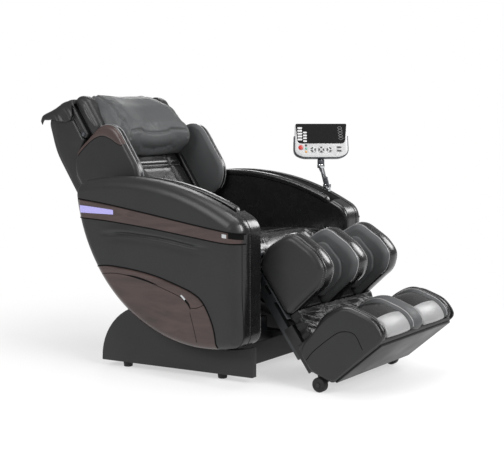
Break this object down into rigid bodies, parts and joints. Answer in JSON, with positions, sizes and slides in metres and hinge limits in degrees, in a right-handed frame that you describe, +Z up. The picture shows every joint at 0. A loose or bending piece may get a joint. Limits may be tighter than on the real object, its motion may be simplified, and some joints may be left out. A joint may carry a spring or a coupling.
{
  "type": "massage chair",
  "caption": "Reclining massage chair with a rocking seat between moulded arms, a massage carriage in the back, a lifting legrest, a sliding footrest and a handset on a pole.",
  "frame": {"origin": "on the floor below the middle of the bounding box in the posture drawn; the handset overhangs the left arm, so the chair's mid-plane lies 20.4 mm towards -X", "axes": "+Z up, the chair faces -Y, +X towards the sitter's left"},
  "size_m": [0.8295, 1.4802, 0.9488],
  "materials": {
    "casing": "fine satin grain",
    "leather": "semi-gloss upholstery",
    "grey_leather": "semi-gloss upholstery",
    "brown_gloss": "high gloss",
    "lens": "translucent lens",
    "steel": "black powder coat",
    "bright_steel": "ground",
    "rubber": "matte",
    "nylon": "natural nylon",
    "motor": "satin",
    "box_plastic": "satin",
    "roller": "matte",
    "chrome": "polished",
    "housing": "silver satin",
    "edge_plastic": "satin",
    "screen": "black window",
    "red_key": "satin",
    "dark_key": "matte",
    "green_key": "satin",
    "amber_key": "satin",
    "grey_key": "matte"
  },
  "bodies": {
    "base": {"base_frame": "steel", "base_cover": "casing", "base_feet": "rubber", "runner_guides": "nylon", "air_pump": "box_plastic", "control_box": "box_plastic", "power_inlet": "box_plastic", "tilt_motor": "motor"},
    "mains_rocker": {"power_switch": "red_key"},
    "tilt_pusher": {"tilt_rod": "bright_steel"},
    "seat": {"seat_frame": "steel", "seat_cushion": "leather", "arm_right": "casing", "arm_left": "casing", "forearm_pads": "leather", "arm_bands": "brown_gloss", "light_lenses": "lens", "side_panels": "brown_gloss", "recline_motor": "motor", "leg_motor": "motor", "pole_socket": "chrome", "remote_pole": "chrome", "remote_lead": "rubber"},
    "recline_pusher": {"recline_rod": "bright_steel"},
    "leg_pusher": {"leg_rod": "bright_steel"},
    "back": {"back_frame": "steel", "back_shell": "casing", "back_pad": "leather", "wings": "leather", "wing_trims": "brown_gloss", "head_pillow": "grey_leather", "head_cover": "leather", "lift_motor": "motor"},
    "screw": {"lead_screw": "bright_steel"},
    "massage_carriage": {"carriage": "motor"},
    "knead_shaft": {"knead_rollers": "roller"},
    "legrest": {"leg_frame": "steel", "calf_wall_right": "leather", "calf_wall_middle": "leather", "calf_wall_left": "leather", "calf_backing": "leather", "calf_airbags": "grey_leather", "gaiter": "leather"},
    "footrest": {"foot_shell": "casing", "foot_walls": "leather", "toe_covers": "leather", "sole_panel": "screen"},
    "right_wheel": {"wheel_right": "rubber"},
    "left_wheel": {"wheel_left": "rubber"},
    "handset": {"remote_cradle": "edge_plastic", "remote_body": "housing", "remote_screen": "screen"},
    "key_power": {"power_key": "red_key"},
    "key_heat": {"heat_key": "dark_key"},
    "key_zone": {"zone_key": "green_key"},
    "key_timer": {"timer_key": "amber_key"},
    "pad_left": {"left_pad": "grey_key"},
    "pad_centre": {"centre_pad": "grey_key"},
    "pad_right": {"right_pad": "grey_key"},
    "rocker_speed": {"speed_rocker": "grey_key"}
  },
  "joints": [
    {"name": "seat_tilt", "type": "hinge", "parent": "base", "child": "seat", "pos_m": [-0.0204, -0.1449, 0.668], "axis": [-1, 0, 0], "range_deg": [0, 12]},
    {"name": "tilt_push", "type": "slide", "parent": "base", "child": "tilt_pusher", "axis": [0, -1, 0], "range_m": [-0.001, 0.097]},
    {"name": "back_recline", "type": "hinge", "parent": "seat", "child": "back", "pos_m": [-0.0204, 0.3071, 0.33], "axis": [-1, 0, 0], "range_deg": [-17, 45]},
    {"name": "recline_push", "type": "slide", "parent": "seat", "child": "recline_pusher", "axis": [0, -1, 0], "range_m": [-0.0295, 0.0765]},
    {"name": "leg_raise", "type": "hinge", "parent": "seat", "child": "legrest", "pos_m": [-0.0204, -0.2829, 0.425], "axis": [-1, 0, 0], "range_deg": [-36.6, 50]},
    {"name": "leg_push", "type": "slide", "parent": "seat", "child": "leg_pusher", "axis": [0, -1, 0], "range_m": [-0.058, 0.0785]},
    {"name": "foot_extend", "type": "slide", "parent": "legrest", "child": "footrest", "axis": [0, -0.5962, -0.8028], "range_m": [-0.06, 0.06], "deforming": ["gaiter"]},
    {"name": "right_wheel_roll", "type": "hinge", "parent": "footrest", "child": "right_wheel", "pos_m": [-0.2604, -0.5203, 0.024], "axis": [-1, 0, 0], "continuous": true},
    {"name": "left_wheel_roll", "type": "hinge", "parent": "footrest", "child": "left_wheel", "pos_m": [0.2196, -0.5203, 0.024], "axis": [-1, 0, 0], "continuous": true},
    {"name": "carriage_lift", "type": "slide", "parent": "back", "child": "massage_carriage", "axis": [0, 0.5736, 0.8192], "range_m": [-0.13, 0.17]},
    {"name": "screw_turn", "type": "hinge", "parent": "back", "child": "screw", "pos_m": [-0.0204, 0.47181, 0.61753], "axis": [0, 0.5736, 0.8192], "continuous": true},
    {"name": "knead_turn", "type": "hinge", "parent": "massage_carriage", "child": "knead_shaft", "pos_m": [-0.0204, 0.43412, 0.64391], "axis": [1, 0, 0], "continuous": true},
    {"name": "handset_swivel", "type": "hinge", "parent": "seat", "child": "handset", "pos_m": [0.3316, -0.15047, 0.69295], "axis": [0, 0, 1], "range_deg": [-60, 60]},
    {"name": "key_power_press", "type": "slide", "parent": "handset", "child": "key_power", "axis": [0.7493, 0.6287, -0.2079], "range_m": [0, 0.001], "stiffness_N_per_m": 500, "springref_m": -0.0004},
    {"name": "key_heat_press", "type": "slide", "parent": "handset", "child": "key_heat", "axis": [0.7493, 0.6287, -0.2079], "range_m": [0, 0.001], "stiffness_N_per_m": 500, "springref_m": -0.0004},
    {"name": "key_zone_press", "type": "slide", "parent": "handset", "child": "key_zone", "axis": [0.7493, 0.6287, -0.2079], "range_m": [0, 0.001], "stiffness_N_per_m": 500, "springref_m": -0.0004},
    {"name": "key_timer_press", "type": "slide", "parent": "handset", "child": "key_timer", "axis": [0.7493, 0.6287, -0.2079], "range_m": [0, 0.001], "stiffness_N_per_m": 500, "springref_m": -0.0004},
    {"name": "pad_left_press", "type": "slide", "parent": "handset", "child": "pad_left", "axis": [0.7493, 0.6287, -0.2079], "range_m": [0, 0.001], "stiffness_N_per_m": 500, "springref_m": -0.0004},
    {"name": "pad_centre_press", "type": "slide", "parent": "handset", "child": "pad_centre", "axis": [0.7493, 0.6287, -0.2079], "range_m": [0, 0.001], "stiffness_N_per_m": 500, "springref_m": -0.0004},
    {"name": "pad_right_press", "type": "slide", "parent": "handset", "child": "pad_right", "axis": [0.7493, 0.6287, -0.2079], "range_m": [0, 0.001], "stiffness_N_per_m": 500, "springref_m": -0.0004},
    {"name": "speed_rocker_tip", "type": "hinge", "parent": "handset", "child": "rocker_speed", "pos_m": [0.36632, -0.20881, 0.74973], "axis": [0.6428, -0.766, 0], "range_deg": [-4, 4], "stiffness_Nm_per_rad": 0.3},
    {"name": "mains_switch", "type": "hinge", "parent": "base", "child": "mains_rocker", "pos_m": [0.1456, 0.3051, 0.06], "axis": [1, 0, 0], "range_deg": [-8, 8]}
  ],
  "couplings": [
    {"joint": "tilt_push", "follows": "seat_tilt", "m_per_rad": 0.45417},
    {"joint": "recline_push", "follows": "back_recline", "m_per_rad": 0.0952},
    {"joint": "leg_push", "follows": "leg_raise", "m_per_rad": 0.0882},
    {"joint": "screw_turn", "follows": "carriage_lift", "rad_per_m": 314.16}
  ]
}
